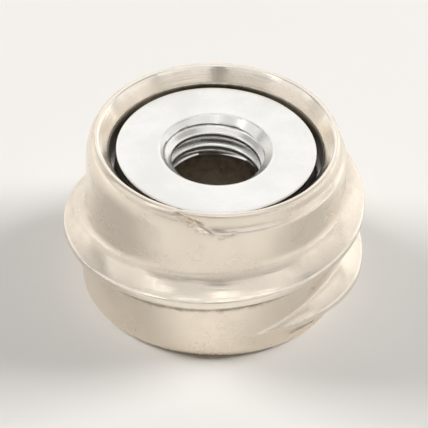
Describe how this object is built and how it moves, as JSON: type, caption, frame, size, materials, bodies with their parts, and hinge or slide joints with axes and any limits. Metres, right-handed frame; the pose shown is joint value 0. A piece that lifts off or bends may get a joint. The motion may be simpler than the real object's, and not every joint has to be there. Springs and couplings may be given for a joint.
{
  "type": "table leg bushing",
  "caption": "Screw-in bushing for a table leg: coarse outer wood thread, hexagon drive socket in the lower face and a threaded steel nut set in the upper rim.",
  "frame": {"origin": "centre of the drive face, on the thread's axis", "axes": "+Z along the axis from the drive face towards the rim and the nut"},
  "size_m": [0.0288, 0.0288, 0.0171],
  "materials": {
    "threaded_body": "satin bare zinc die casting with fine turned lines",
    "threaded_insert": "bright turned and zinc-plated steel"
  },
  "bodies": {
    "root": {"threaded_body": "threaded_body", "threaded_insert": "threaded_insert"}
  },
  "joints": []
}
